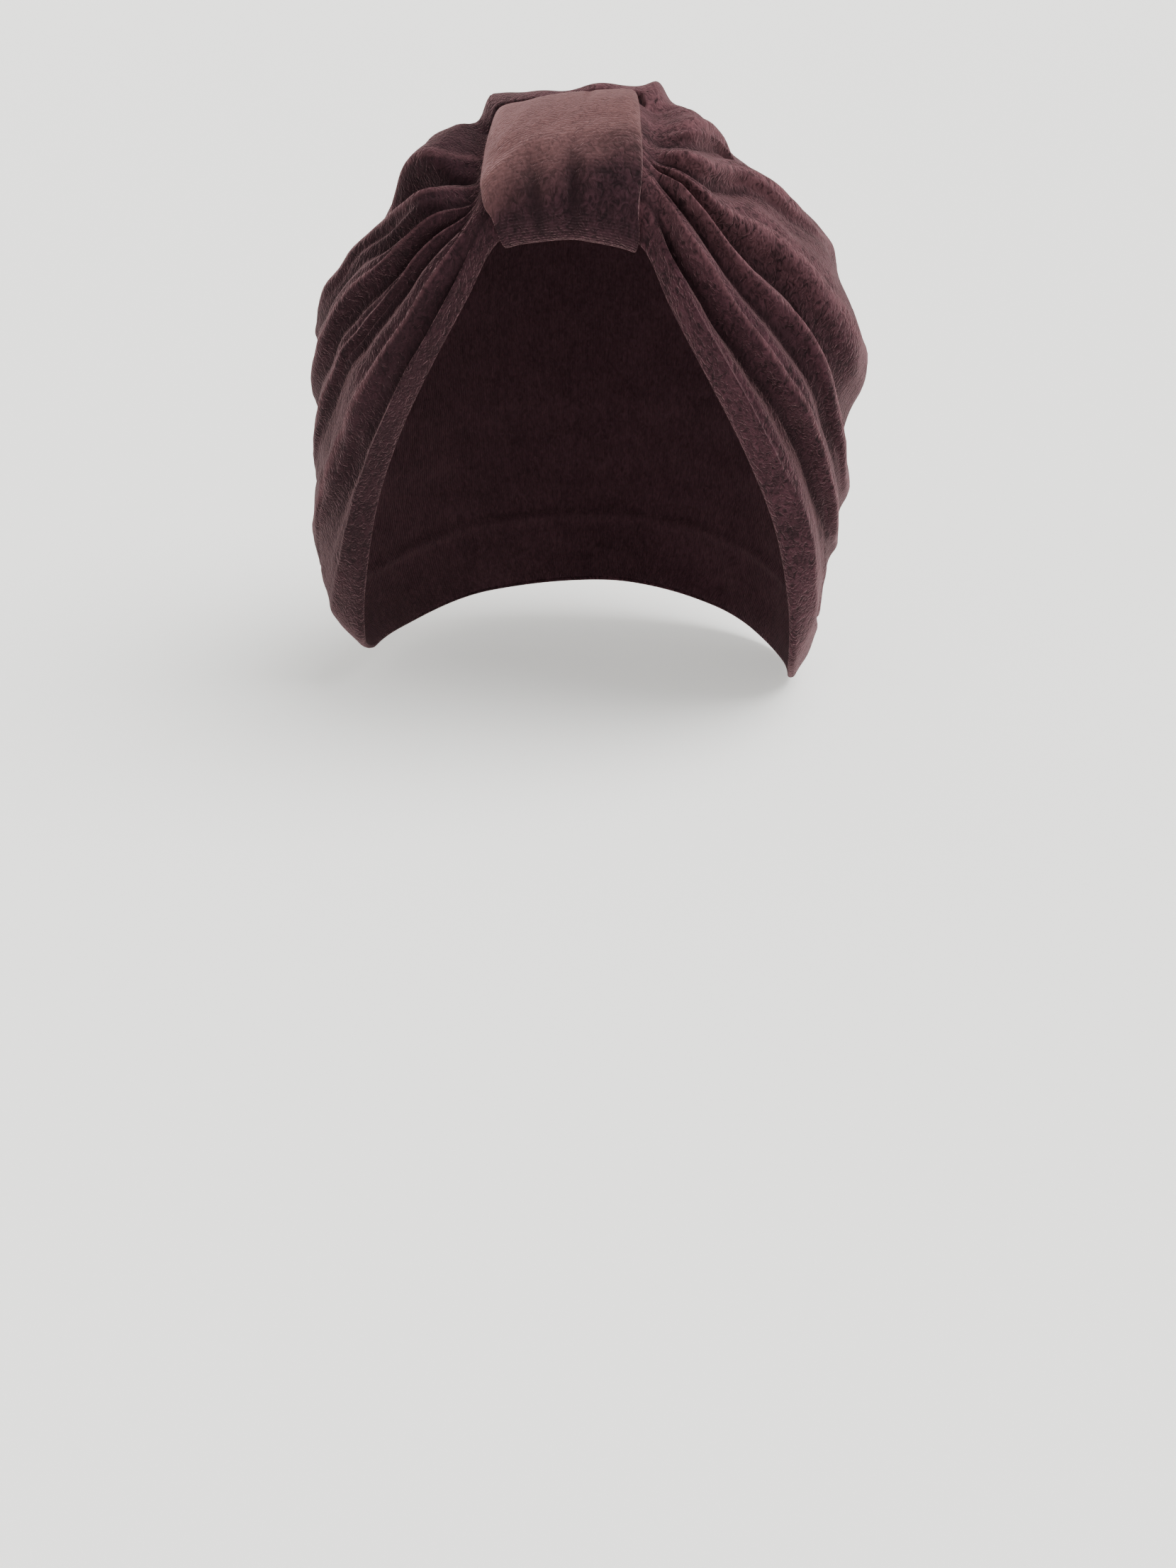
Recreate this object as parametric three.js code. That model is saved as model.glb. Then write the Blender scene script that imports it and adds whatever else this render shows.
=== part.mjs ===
// A gathered velvet turban cap: one cloth crown, cinched at the front by a velvet loop.
// Millimetres, +Z up, the face opening towards -Y. The origin is the head seat: the inside of
// the crown, where the top of the head bears.

import * as THREE from 'three';

// Driving sizes
const CROWN_CLOTH = 2.4; // crown wall, two layers of velvet
const LOOP_CLOTH = 2.6; // loop wall, a velvet tube pressed flat
const CLEARANCE = 1.3; // gap between the loop and the cloth that it holds
const RIM_SLACK = 2.2; // more gap under the rim, which runs aslant through the loop

// The smooth head form under the folds
const FORM = {
  poleY: 25, // where the seams of the crown meet, behind the head seat
  centreY: 8,
  halfWidth: 87,
  halfLength: 93,
  equatorZ: -88,
  crownRise: 88 + CROWN_CLOTH, // from the equator to the outside of the crown
  sideDrop: 230, // how slowly the sides draw in below the equator
  napeDrop: 130,
  roundness: { side: 1.85, front: 2.5, back: 2.2 }, // superellipse powers of the crown's profile
};

// The rim: its height at each azimuth, from the loop (0 degrees) to the nape (180 degrees)
const RIM = [
  { azimuth: 0, height: -26 },
  { azimuth: 6, height: -27 },
  { azimuth: 12, height: -31 },
  { azimuth: 16, height: -38 },
  { azimuth: 20, height: -53 },
  { azimuth: 26, height: -73 },
  { azimuth: 34, height: -97 },
  { azimuth: 41, height: -117 },
  { azimuth: 53, height: -153 },
  { azimuth: 66, height: -180 },
  { azimuth: 82, height: -190 },
  { azimuth: 100, height: -191 },
  { azimuth: 137, height: -185 },
  { azimuth: 180, height: -180 },
];
const RIM_TILT = 4; // how much lower the rim lies at the right ear, and higher at the left

// Fold lines from the rim to the crown. loop, edge, temple, ear and nape are distances along the
// cloth above the rim at those stations. rise is the height over the form at the temple, and side is
// the height at the ear. Pairs are [left, right] as seen from the front.
const FOLD_COLUMNS = ['name', 'crest', 'rise', 'side', 'loop', 'edge', 'temple', 'ear', 'nape'];
const FOLDS = [
  ['edge_roll', true, [5, 5.5], [12, -2], 2.5, [2.5, 6], [4.5, 12], [20, 22], 18],
  ['edge_crease', false, [0.5, -1], [10, -1.5], 6, [4.6, 13.8], [9, 26], [38, 44], 34],
  ['inner_roll', true, [6, 7.5], [10, 0.5], 14, [19.5, 26], [36.5, 42], [50, 54], 42],
  ['inner_crease', false, [3, 3], [6.5, -1], 16, [21.5, 29], [40.5, 47], [58, 61], 50],
  ['band_pleat', true, [6.5, 9], [6.5, 1.5], 19, [25, 34], [50, 63], [72, 76], 60],
  ['band_crease', false, [3, -2.5], [-0.5, -2.5], 20.5, [27, 35.5], [55, 70], [80, 89], 68],
  ['side_pleat', true, [9.5, 8], [4, 7], 22.5, [29.5, 38.5], [64, 92], [96, 130], 100],
  ['side_crease', false, [6, 4], [1, 5], 24, [31, 41], [69, 97], [103, 140], 120],
  ['upper_pleat', true, [12, 9], [4.5, 4.5], 27, [34, 47], [82, 107], [116, 155], 140],
  ['upper_crease', false, [-1, 1], [1.5, 2], 30.5, [39, 52], [90, 113], [126, 163], 155],
  ['top_pleat', true, [8, 4.5], [-1.5, 0], 40, [58, 64], [106, 120], [143, 172], 170],
  ['crown_crease', false, [3.6, 1], [-4, -4], 50, [75, 76], [122, 127], [160, 182], 184],
  ['crown_puff', true, [-0.5, -0.5], [-4, -3], 58, [86.5, 87], [140, 143], [180, 196], 200],
  ['crown_slope', false, [-2, -2], [-2.5, -2.5], 69, [101, 101], [158, 160], [200, 208], 215],
].map((cells) => Object.fromEntries(cells.map((cell, i) => [FOLD_COLUMNS[i], cell])));
const STATION = { loop: 0, edge: 20, temple: 40, ear: 72, nape: 130 }; // azimuths of the table's columns
const RIM_FOLD = { rise: [-1, -1], side: [2, -6] }; // the rim's own height over the form
const SLIT_LINE = FOLDS.findIndex((fold) => fold.name === 'crown_crease') + 1;
const SLIT_PART = 0.62; // how far the slit opens from the crease towards the puff

// Places where one pleat drops behind the next, so the outline has a notch
const TUCKS = [
  { azimuth: -54, spread: 9, row: 10.5, rows: 0.9, depth: 10 },
  { azimuth: -40, spread: 10, row: 9.3, rows: 0.9, depth: 5 },
  { azimuth: 54, spread: 8, row: 11, rows: 0.8, depth: 5 },
  { azimuth: 76, spread: 9, row: 7.8, rows: 0.6, depth: 5 },
];

// How the folds swell and die away: the bundle under the loop, its round front, the valley at each
// edge of the loop, then the ridge behind it
const GATHER = { height: 7.5, shoulders: [2.5, 5], length: 66, skew: 1.3, flat: 24, fade: 50 };
const GATHER_TILT = { slope: 0.085, about: 20, reach: 30 }; // lower on the left
const BARREL = { rise: 7.5, foot: 5, length: 26, from: 24, to: 32 };
const VALLEY = { depth: 7, at: 26, width: 5.5 };
const LIP = { rise: 5, from: 25, to: 31, ears: [3.4, 4.4], earAt: 25.5, earWidth: 3.6 };
const PINCH = { from: 27, to: 33.5 }; // the loop presses the folds flat
const FADE = { from: 62, to: 135, least: 0.25 }; // the folds die towards the nape
const NAPE_MEET = { from: 110, to: 165 }; // the two sides come together at the nape

// The loop
const LOOP = { lean: -4.5, leanPower: 0.6, across: 6, bendSteps: 5, crown: 0.8 };
const LOOP_HALF_WIDTHS = [
  { share: 0, width: 20.2 }, // at the rim
  { share: 0.2, width: 22.6 },
  { share: 0.45, width: 23 },
  { share: 0.75, width: 22.4 },
  { share: 1, width: 21.2 }, // at the slit
];

// Mesh density
const COLUMNS = 25; // from the front to the nape, on each side
const COLUMN_CROWDING = 1.5; // packs columns towards the front
const COLUMN_APART = 2.4; // least angle between columns
const SLIT_COLUMNS = [1.2, 5, 10]; // extra columns past the loop's edge
const FOLD_ROWS = 3;
const TOP_ROWS = 5;

const RAD = Math.PI / 180;
const smooth = THREE.MathUtils.smoothstep;

// A smooth curve through the points of a table, with no overshoot between them
function curveThrough(xs, ys) {
  const slope = xs.slice(1).map((x, i) => (ys[i + 1] - ys[i]) / (x - xs[i]));
  const tangent = xs.map((_, i) => {
    if (i === 0 || i === xs.length - 1) return 0;
    const [a, b] = [slope[i - 1], slope[i]];
    return a * b <= 0 ? 0 : (2 * a * b) / (a + b);
  });
  return (x) => {
    const at = THREE.MathUtils.clamp(x, xs[0], xs[xs.length - 1]);
    let i = 0;
    while (i < xs.length - 2 && at > xs[i + 1]) i += 1;
    const width = xs[i + 1] - xs[i];
    const t = (at - xs[i]) / width;
    const [t2, t3] = [t * t, t * t * t];
    return (
      ys[i] * (2 * t3 - 3 * t2 + 1) +
      ys[i + 1] * (3 * t2 - 2 * t3) +
      tangent[i] * width * (t3 - 2 * t2 + t) +
      tangent[i + 1] * width * (t3 - t2)
    );
  };
}

const rimCurve = curveThrough(
  RIM.map((row) => row.azimuth),
  RIM.map((row) => row.height),
);
function rimHeight(azimuth) {
  const s = Math.sin(azimuth * RAD);
  return rimCurve(Math.abs(azimuth)) - RIM_TILT * s * Math.abs(s);
}

// Distance from the pole to the form's widest oval, in one direction
function ovalReach(azimuth) {
  const [s, c] = [Math.sin(azimuth * RAD), Math.cos(azimuth * RAD)];
  const { halfWidth: a, halfLength: b } = FORM;
  const offset = FORM.poleY - FORM.centreY;
  const p = (s * s) / (a * a) + (c * c) / (b * b);
  const q = (offset * c) / (b * b);
  return (q + Math.sqrt(q * q + p * (1 - (offset * offset) / (b * b)))) / p;
}

// The form's outline in one direction as a polyline, from below the rim to the pole
const meridians = new Map();
function meridian(azimuth) {
  const key = azimuth.toFixed(4);
  if (meridians.has(key)) return meridians.get(key);
  const reach = ovalReach(azimuth);
  const forward = Math.cos(azimuth * RAD);
  const { side, front, back } = FORM.roundness;
  const power = side + (forward > 0 ? front - side : back - side) * forward * forward;
  const drop = FORM.sideDrop - (FORM.sideDrop - FORM.napeDrop) * Math.max(0, -forward) ** 2;
  const rim = rimHeight(azimuth);
  const lowest = rim - 15;
  const points = [];
  const steps = 240;
  for (let i = 0; i <= steps; i += 1) {
    const turn = -Math.PI / 2 + (Math.PI * i) / steps;
    const up = turn > 0 ? FORM.crownRise * Math.sin(turn) ** (2 / power) : drop * Math.sin(turn);
    const out = turn > 0 ? reach * Math.cos(turn) ** (2 / power) : reach * Math.cos(turn);
    points.push(new THREE.Vector2(i === steps ? 0 : out, FORM.equatorZ + up));
  }
  const kept = points.filter((p, i) => i === steps || points[i + 1].y > lowest);
  const lengths = [0];
  kept.slice(1).forEach((p, i) => lengths.push(lengths[i] + p.distanceTo(kept[i])));
  const i = kept.findIndex((p) => p.y >= rim);
  const t = (rim - kept[i - 1].y) / (kept[i].y - kept[i - 1].y);
  const rimAt = lengths[i - 1] + t * (lengths[i] - lengths[i - 1]);
  const made = { points: kept, lengths: lengths.map((l) => l - rimAt), drop };
  meridians.set(key, made);
  return made;
}

// A point of the form and its outward direction, at a distance along the cloth above the rim
function formPoint(azimuth, along) {
  const { points, lengths, drop } = meridian(azimuth);
  let i = 0;
  while (i < lengths.length - 2 && along > lengths[i + 1]) i += 1;
  const t = Math.min(1, (along - lengths[i]) / (lengths[i + 1] - lengths[i]));
  const flat = points[i].clone().lerp(points[i + 1], t);
  const [s, c] = [Math.sin(azimuth * RAD), Math.cos(azimuth * RAD)];
  const place = new THREE.Vector3(flat.x * s, FORM.poleY - flat.x * c, flat.y);
  const height = place.z > FORM.equatorZ ? FORM.crownRise : drop;
  const normal = new THREE.Vector3(
    place.x / FORM.halfWidth ** 2,
    (place.y - FORM.centreY) / FORM.halfLength ** 2,
    (place.z - FORM.equatorZ) / height ** 2,
  ).normalize();
  return { place, normal };
}

function clothLength(azimuth) {
  const { lengths } = meridian(azimuth);
  return lengths[lengths.length - 1];
}

// Each fold line's distance above the rim and below the pole, for the left and the right side
const lineCurves = [0, 1].map((side) =>
  FOLDS.map((fold) => {
    const stations = [...Object.values(STATION), 180];
    const above = [fold.loop, fold.edge[side], fold.temple[side], fold.ear[side], fold.nape, fold.nape];
    const sign = side === 0 ? -1 : 1;
    const below = above.map((along, i) => clothLength(sign * stations[i]) - along);
    return { above: curveThrough(stations, above), below: curveThrough(stations, below) };
  }),
);
const sideOf = (azimuth) => (azimuth < 0 ? 0 : 1);

// Lines are counted from 0 at the rim, through the folds, to the pole
const LAST_LINE = FOLDS.length + 1;
function lineAlong(azimuth, line) {
  if (line <= 0) return 0;
  if (line >= LAST_LINE) return clothLength(azimuth);
  const { above, below } = lineCurves[sideOf(azimuth)][line - 1];
  const angle = Math.abs(azimuth);
  // Low lines keep to the rim and high lines to the pole
  const share = Math.min(1, FOLDS[line - 1].loop / FOLDS[SLIT_LINE - 1].loop);
  return (1 - share) * above(angle) + share * (clothLength(azimuth) - below(angle));
}

function lineRise(azimuth, line) {
  if (line >= LAST_LINE) return 0;
  const { rise, side } = line <= 0 ? RIM_FOLD : FOLDS[line - 1];
  const angle = Math.abs(azimuth);
  const ear = smooth(angle, STATION.temple, STATION.ear);
  const hands = [0, 1].map((hand) => rise[hand] + (side[hand] - rise[hand]) * ear);
  const meet = smooth(angle, NAPE_MEET.from, NAPE_MEET.to) / 2;
  const own = sideOf(azimuth);
  return hands[own] * (1 - meet) + hands[1 - own] * meet;
}

// How far above the rim a place between two lines is, with part from 0 to 1 between them
function alongAt(azimuth, row) {
  const line = Math.floor(Math.min(row, LAST_LINE - 1e-9));
  const part = row - line;
  const [a, b] = [lineAlong(azimuth, line), lineAlong(azimuth, line + 1)];
  return a + (b - a) * part;
}

// The folds' height over the form: round crests between sharp creases
function foldRise(azimuth, row) {
  const line = Math.floor(Math.min(row, LAST_LINE - 1e-9));
  const part = row - line;
  const [a, b] = [lineRise(azimuth, line), lineRise(azimuth, line + 1)];
  if (line === LAST_LINE - 1) return a * (1 - part) ** 2;
  const towardsCrest = FOLDS[line].crest;
  return towardsCrest
    ? a + (b - a) * Math.sin((part * Math.PI) / 2)
    : b + (a - b) * Math.cos((part * Math.PI) / 2);
}

function tuckDepth(azimuth, row) {
  return TUCKS.reduce((sum, tuck) => {
    const sideways = (azimuth - tuck.azimuth) / tuck.spread;
    const upward = (row - tuck.row) / tuck.rows;
    return sum + tuck.depth * Math.exp(-(sideways ** 2) - upward ** 2);
  }, 0);
}

// The ridge of cloth that stands up behind the loop, with a small ear at each end
function lipRise(x, row, aside) {
  const part = row - SLIT_LINE;
  if (part <= 0 || part >= 2) return 0;
  const ear = LIP.ears[sideOf(x)] * Math.exp(-(((aside - LIP.earAt) / LIP.earWidth) ** 2));
  return (LIP.rise * (1 - smooth(aside, LIP.from, LIP.to)) + ear) * Math.sin((part * Math.PI) / 2);
}

// The middle of the loop and its ridge, which lean to the left on their way back
function middleAt(along) {
  return LOOP.lean * Math.min(1, along / FOLDS[SLIT_LINE - 1].loop) ** LOOP.leanPower;
}

// The swell of the gathered cloth under and beside the loop
function bundleRise(x, row, aside) {
  const front = alongAt(0, row);
  const share = THREE.MathUtils.clamp(front / GATHER.length, 0, 1);
  const bundle = Math.sin(Math.PI * share ** GATHER.skew) ** 0.8;
  const shoulder = GATHER.shoulders[sideOf(x)] * Math.min(1, aside / GATHER.flat) ** 2;
  const { slope, about, reach } = GATHER_TILT;
  const tilt = slope * (THREE.MathUtils.clamp(x, -reach, reach) - about);
  const swell = (GATHER.height + shoulder + tilt) * (1 - smooth(aside, GATHER.flat, GATHER.fade));
  const valley = VALLEY.depth * Math.exp(-(((aside - VALLEY.at) / VALLEY.width) ** 2));
  const roundness = (1 - Math.exp(-front / BARREL.foot)) * Math.exp(-((front / BARREL.length) ** 2));
  const barrel = BARREL.rise * roundness * (1 - smooth(aside, BARREL.from, BARREL.to));
  return (swell - valley) * bundle + barrel;
}

// The crown's outer surface at an azimuth and row, raised by lift
function crownPoint(azimuth, row, lift = 0) {
  const along = alongAt(azimuth, row);
  const { place, normal } = formPoint(azimuth, along);
  const behind = Math.abs(azimuth) > 90;
  const aside = behind ? FORM.halfWidth : Math.abs(place.x - middleAt(alongAt(0, row)));
  const free = smooth(aside, PINCH.from, PINCH.to);
  const alive = 1 - (1 - FADE.least) * smooth(Math.abs(azimuth), FADE.from, FADE.to);
  const pleats = foldRise(azimuth, row) * free * alive - tuckDepth(azimuth, row);
  const folds = pleats + lipRise(place.x, row, aside);
  return place.addScaledVector(normal, folds + bundleRise(place.x, row, aside) + lift);
}

// Rows of the crown's mesh, as line numbers with parts between them
function crownRows() {
  const rows = [];
  for (let line = 0; line < LAST_LINE; line += 1) {
    const count = line === LAST_LINE - 1 ? TOP_ROWS : FOLD_ROWS;
    if (line === SLIT_LINE) rows.push(line, line + SLIT_PART);
    else for (let i = 0; i < count; i += 1) rows.push(line + i / count);
  }
  return rows;
}

const loopHalfWidth = curveThrough(
  LOOP_HALF_WIDTHS.map((row) => row.share),
  LOOP_HALF_WIDTHS.map((row) => row.width),
);

// Where the slit ends, and the columns that follow the ridge's ends down, past the loop's edges
function columnsBesideLoop(side) {
  const slitHalf = loopHalfWidth(1);
  return SLIT_COLUMNS.map((past) => azimuthAside(LOOP.lean + side * (slitHalf + past), SLIT_LINE));
}

// Columns of the crown's mesh: azimuths all the way round, from the nape by the left
function crownColumns() {
  const half = [];
  for (let i = 1; i < COLUMNS; i += 1) half.push(180 * (i / COLUMNS) ** COLUMN_CROWDING);
  const beside = [...columnsBesideLoop(-1), ...columnsBesideLoop(1)];
  const even = [-180, ...half.map((a) => -a), 0, ...half];
  const apart = even.filter((a) => beside.every((b) => Math.abs(a - b) > COLUMN_APART));
  return [...apart, ...beside].sort((a, b) => a - b);
}

// A closed mesh from a list of corner points and a list of triangles
function meshGeometry(points, triangles) {
  const geometry = new THREE.BufferGeometry();
  geometry.setAttribute('position', new THREE.Float32BufferAttribute(points.flatMap((p) => p.toArray()), 3));
  geometry.setIndex(triangles.flat());
  geometry.computeVertexNormals();
  return geometry;
}

// The crown: an outer and an inner skin, joined round the rim and round the slit behind the loop
function crownGeometry() {
  const rows = crownRows();
  const columns = crownColumns();
  const [nr, nc] = [rows.length, columns.length];
  const points = [];
  for (const lift of [0, -CROWN_CLOTH]) {
    for (const azimuth of columns) for (const row of rows) points.push(crownPoint(azimuth, row, lift));
    points.push(crownPoint(0, LAST_LINE, lift));
  }
  const skin = nr * nc + 1;
  const at = (column, row, inner) =>
    (inner ? skin : 0) + (row === nr ? nr * nc : ((column + nc) % nc) * nr + row);

  const slitRow = rows.indexOf(SLIT_LINE);
  const [slitLeft, slitRight] = [-1, 1].map((side) => columnsBesideLoop(side)[0]);
  const inSlit = (column, row) =>
    row === slitRow && columns[column] >= slitLeft && columns[column] < slitRight;
  const triangles = [];
  const wall = (a, b, c, d) => triangles.push([a, b, c], [a, c, d]);
  for (let column = 0; column < nc; column += 1) {
    for (let row = 0; row < nr; row += 1) {
      const cell = [
        [column, row],
        [column + 1, row],
        [column + 1, row + 1],
        [column, row + 1],
      ];
      if (inSlit(column, row)) continue;
      const [a, b, c, d] = cell.map(([i, k]) => at(i, k, false));
      const [e, f, g, h] = cell.map(([i, k]) => at(i, k, true));
      if (row === nr - 1) {
        triangles.push([a, b, c], [e, g, f]);
      } else {
        wall(a, b, c, d);
        wall(e, h, g, f);
      }
    }
    wall(at(column, 0, true), at(column + 1, 0, true), at(column + 1, 0, false), at(column, 0, false));
  }
  slitWalls(columns, slitRow, inSlit, at, wall);
  return meshGeometry(points, triangles);
}

// The cut edges of the slit
function slitWalls(columns, slitRow, inSlit, at, wall) {
  const edge = (from, to) =>
    wall(at(...from, false), at(...to, false), at(...to, true), at(...from, true));
  columns.forEach((_, column) => {
    if (!inSlit(column, slitRow)) return;
    edge([column, slitRow], [column + 1, slitRow]);
    edge([column + 1, slitRow + 1], [column, slitRow + 1]);
    if (!inSlit(column - 1, slitRow)) edge([column, slitRow + 1], [column, slitRow]);
    if (!inSlit(column + 1, slitRow)) edge([column + 1, slitRow], [column + 1, slitRow + 1]);
  });
}

// The azimuth at which a row of the crown is a given distance to the side
function azimuthAside(aside, row) {
  let azimuth = 0;
  for (let i = 0; i < 40; i += 1) {
    const x = crownPoint(azimuth, row).x;
    azimuth += ((aside - x) / 100) / RAD;
  }
  return azimuth;
}

// The loop's way round the gathered cloth: over the front, through the slit, down the inside and
// under the rim. Each step holds a row, how far it stands off the cloth, and how far past its end.
function loopSteps() {
  const rows = [...crownRows().filter((row) => row < SLIT_LINE), SLIT_LINE];
  const bend = Array.from({ length: LOOP.bendSteps }, (_, i) => (Math.PI * (i + 1)) / (LOOP.bendSteps + 1));
  return [
    ...rows.map((row) => ({ row, stand: 1, past: 0 })),
    ...bend.map((turn) => ({ row: SLIT_LINE, stand: Math.cos(turn), past: Math.sin(turn) })),
    ...rows.reverse().map((row) => ({ row, stand: -1, past: 0 })),
    ...bend.map((turn) => ({ row: 0, stand: -Math.cos(turn), past: -Math.sin(turn) })),
  ];
}

// A point of the loop: aside runs across the band and depth through its wall
function loopPoint({ row, stand, past }, aside, depth) {
  const reach = CROWN_CLOTH / 2 + CLEARANCE + LOOP_CLOTH / 2 + depth;
  const share = alongAt(0, row) / lineAlong(0, SLIT_LINE);
  const azimuth = azimuthAside(middleAt(alongAt(0, row)) + aside * loopHalfWidth(share), row);
  const point = crownPoint(azimuth, row, reach * stand - CROWN_CLOTH / 2);
  if (past === 0) return point;
  const [from, to] = row > 0 ? [row - 0.1, row] : [0, 0.1];
  const onward = crownPoint(azimuth, to).sub(crownPoint(azimuth, from)).normalize();
  const slack = row > 0 ? 0 : RIM_SLACK;
  return point.addScaledVector(onward, (reach + slack) * past);
}

// The loop: a flat band with rounded edges that closes on itself
function loopGeometry() {
  const { across, crown } = LOOP;
  const section = [];
  for (let i = 0; i <= across; i += 1) {
    const aside = -1 + (2 * i) / across;
    section.push([aside, LOOP_CLOTH / 2 - crown * aside ** 2]);
  }
  for (let i = 0; i <= across; i += 1) section.push([1 - (2 * i) / across, -LOOP_CLOTH / 2]);
  const steps = loopSteps();
  const points = steps.flatMap((step) => section.map(([aside, depth]) => loopPoint(step, aside, depth)));
  const n = section.length;
  const at = (step, i) => (step % steps.length) * n + (i % n);
  const triangles = [];
  for (let step = 0; step < steps.length; step += 1) {
    for (let i = 0; i < n; i += 1) {
      const [a, b, c, d] = [at(step, i), at(step, i + 1), at(step + 1, i + 1), at(step + 1, i)];
      triangles.push([a, b, c], [a, c, d]);
    }
  }
  return meshGeometry(points, triangles);
}

const velvet = (color) => new THREE.MeshStandardMaterial({ color, roughness: 0.95, metalness: 0 });

const crown = new THREE.Mesh(crownGeometry(), velvet(0x4a2c34));
crown.name = 'crown';

const frontLoop = new THREE.Mesh(loopGeometry(), velvet(0x6b4850));
frontLoop.name = 'front_loop';

const turban = new THREE.Group();
turban.add(crown, frontLoop);

export default turban;
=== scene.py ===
"""A gathered velvet turban cap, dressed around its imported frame.

The cap is one soft crown, pleated down both sides, and a velvet loop that cinches the pleats over
the forehead. Sizes are in millimetres, as in the part's source, and meshes are made in metres.
"""

import logging
import math
from dataclasses import dataclass
from enum import Enum
from typing import Any, Sequence, Union

import bpy
import numpy as np
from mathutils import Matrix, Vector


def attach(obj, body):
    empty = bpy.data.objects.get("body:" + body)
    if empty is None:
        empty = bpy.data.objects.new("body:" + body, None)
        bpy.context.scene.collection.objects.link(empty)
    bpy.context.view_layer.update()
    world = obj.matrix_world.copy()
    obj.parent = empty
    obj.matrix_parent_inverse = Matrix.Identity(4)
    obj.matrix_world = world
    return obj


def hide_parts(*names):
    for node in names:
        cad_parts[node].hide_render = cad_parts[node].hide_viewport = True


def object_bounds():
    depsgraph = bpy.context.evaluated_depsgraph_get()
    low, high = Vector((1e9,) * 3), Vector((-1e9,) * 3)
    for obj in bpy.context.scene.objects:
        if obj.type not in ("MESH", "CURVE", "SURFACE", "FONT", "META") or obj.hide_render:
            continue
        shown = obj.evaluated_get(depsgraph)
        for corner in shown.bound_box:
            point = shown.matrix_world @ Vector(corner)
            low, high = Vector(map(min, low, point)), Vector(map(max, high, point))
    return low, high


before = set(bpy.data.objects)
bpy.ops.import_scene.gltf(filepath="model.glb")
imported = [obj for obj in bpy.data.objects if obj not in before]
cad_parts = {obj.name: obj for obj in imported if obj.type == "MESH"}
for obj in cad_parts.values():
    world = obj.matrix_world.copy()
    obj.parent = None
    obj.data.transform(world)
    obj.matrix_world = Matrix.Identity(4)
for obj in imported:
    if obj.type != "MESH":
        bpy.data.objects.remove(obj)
CAD_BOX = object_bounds()

LOG = logging.getLogger("turban")
MM = 0.001
PHOTO_SIZE = (1659, 2212)
BODY = "root"
# Names of the marks that the velvet reads: painted shade in the creases and furrows, painted highlight along
# the crests
PAINTED_FOLD_SHADE, PAINTED_CREST_LIGHT = "painted_fold_shade", "painted_crest_light"

Array = np.ndarray
Pair = tuple[float, float]
Triple = tuple[float, float, float]


class Hand(Enum):
    """The two sides of the cap, as seen from the front."""

    LEFT = 0
    RIGHT = 1


class Rows(Enum):
    """Which way the backing's rows run on the flat cloth."""

    ACROSS = "X"
    ALONG = "Y"


class Skin(Enum):
    """The faces of the crown's cloth and the material slot of each."""

    PILE = 0
    BACKING = 1


def smoothstep(value: Array, low: float, high: float) -> Array:
    """Ease from 0 at low to 1 at high.

    Args:
        value: Where to read the curve.
        low: The value that gives 0.
        high: The value that gives 1.

    Returns:
        The eased values.
    """
    t = np.clip((value - low) / (high - low), 0.0, 1.0)
    return t * t * (3.0 - 2.0 * t)


def bell(value: Array, centre: Union[Array, float], width: float) -> Array:
    """Rise to 1 at a centre and die away on both sides of it."""
    return np.exp(-(((value - centre) / width) ** 2))


def link_object(name: str, data: bpy.types.ID) -> bpy.types.Object:
    """Make an object of a mesh, light or camera and link it to the scene."""
    made = bpy.data.objects.new(name, data)
    bpy.context.scene.collection.objects.link(made)
    return made


class TableCurve:
    """A smooth curve through the points of a table, with no overshoot between them."""

    def __init__(self, xs: Sequence[float], ys: Sequence[float]) -> None:
        """Work out the slope of the curve at each point.

        Args:
            xs: Rising positions.
            ys: The value at each position.
        """
        self.xs = np.array(xs, dtype=float)
        self.ys = np.array(ys, dtype=float)
        slope = np.diff(self.ys) / np.diff(self.xs)
        before, after = slope[:-1], slope[1:]
        total = np.where(before + after == 0.0, 1.0, before + after)
        inner = np.where(before * after > 0.0, 2.0 * before * after / total, 0.0)
        self.tangents = np.concatenate([[0.0], inner, [0.0]])

    def __call__(self, x: Array) -> Array:
        """Read the curve.

        Args:
            x: Positions, held to the table's ends.

        Returns:
            The value at each position.
        """
        at = np.clip(np.asarray(x, dtype=float), self.xs[0], self.xs[-1])
        i = np.clip(np.searchsorted(self.xs, at, side="right") - 1, 0, len(self.xs) - 2)
        width = self.xs[i + 1] - self.xs[i]
        t = (at - self.xs[i]) / width
        t2, t3 = t * t, t * t * t
        return (
            self.ys[i] * (2 * t3 - 3 * t2 + 1)
            + self.ys[i + 1] * (3 * t2 - 2 * t3)
            + self.tangents[i] * width * (t3 - 2 * t2 + t)
            + self.tangents[i + 1] * width * (t3 - t2)
        )


@dataclass(frozen=True)
class Crumple:
    """Soft random unevenness of cloth, as a sum of seeded waves in space."""

    seed: int
    wavelength: float
    waves: int = 24
    spread: float = 0.45
    gain: float = 0.6

    def at(self, points: Array) -> Array:
        """Read the unevenness.

        Args:
            points: Places in millimetres, one per row.

        Returns:
            A value near -1 to 1 for each place.
        """
        rng = np.random.default_rng(self.seed)
        ways = rng.normal(size=(self.waves, 3))
        ways /= np.linalg.norm(ways, axis=1, keepdims=True)
        lengths = self.wavelength * np.exp(rng.normal(scale=self.spread, size=self.waves))
        phases = rng.uniform(0.0, 2.0 * math.pi, self.waves)
        total = np.zeros(len(points))
        for way, length, phase in zip(ways, lengths, phases):
            total += np.sin(points @ way * (2.0 * math.pi / length) + phase)
        return total * math.sqrt(2.0 / self.waves) * self.gain


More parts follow.
